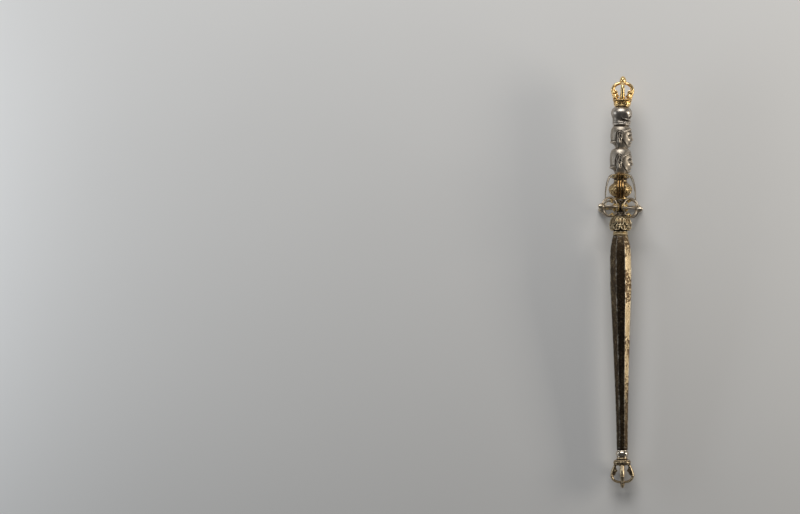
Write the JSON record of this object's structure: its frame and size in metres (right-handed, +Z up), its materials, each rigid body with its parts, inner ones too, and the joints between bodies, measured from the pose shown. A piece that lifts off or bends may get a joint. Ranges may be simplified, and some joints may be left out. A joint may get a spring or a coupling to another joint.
{
  "type": "ritual sceptre",
  "caption": "Slender iron ritual staff with a tapering eight-sided shaft, crossed vajra, vase, stacked heads and skull, and a half vajra at each end, lying at rest.",
  "frame": {"origin": "centre of the bounding box's footprint, on the surface the staff lies on", "axes": "+Y along the staff towards the upper half vajra, +X the way the heads look, +Z up from the surface"},
  "size_m": [0.047, 0.4396, 0.0474],
  "materials": {
    "gilt_iron": "fire-gilt iron, bright, rubbed on the high points",
    "silvered_iron": "silvered iron, satin, brown in the recesses",
    "worn_gilt_iron": "worn gilding over dark iron",
    "silver_inlay": "silver-faced iron, bright",
    "dark_iron": "dark brown iron with rubbed gold details",
    "inlaid_iron": "dark iron with gold and silver damascened scrollwork"
  },
  "bodies": {
    "root": {"finial_upper": "gilt_iron", "skull": "silvered_iron", "head_upper": "silvered_iron", "head_lower": "silvered_iron", "vase": "worn_gilt_iron", "ribbon_fr": "silver_inlay", "ribbon_fl": "silver_inlay", "ribbon_br": "silver_inlay", "ribbon_bl": "silver_inlay", "crossed_vajra": "dark_iron", "lotus_knop": "worn_gilt_iron", "shaft": "inlaid_iron", "bead_lower": "silver_inlay", "finial_lower": "silver_inlay"}
  },
  "joints": []
}
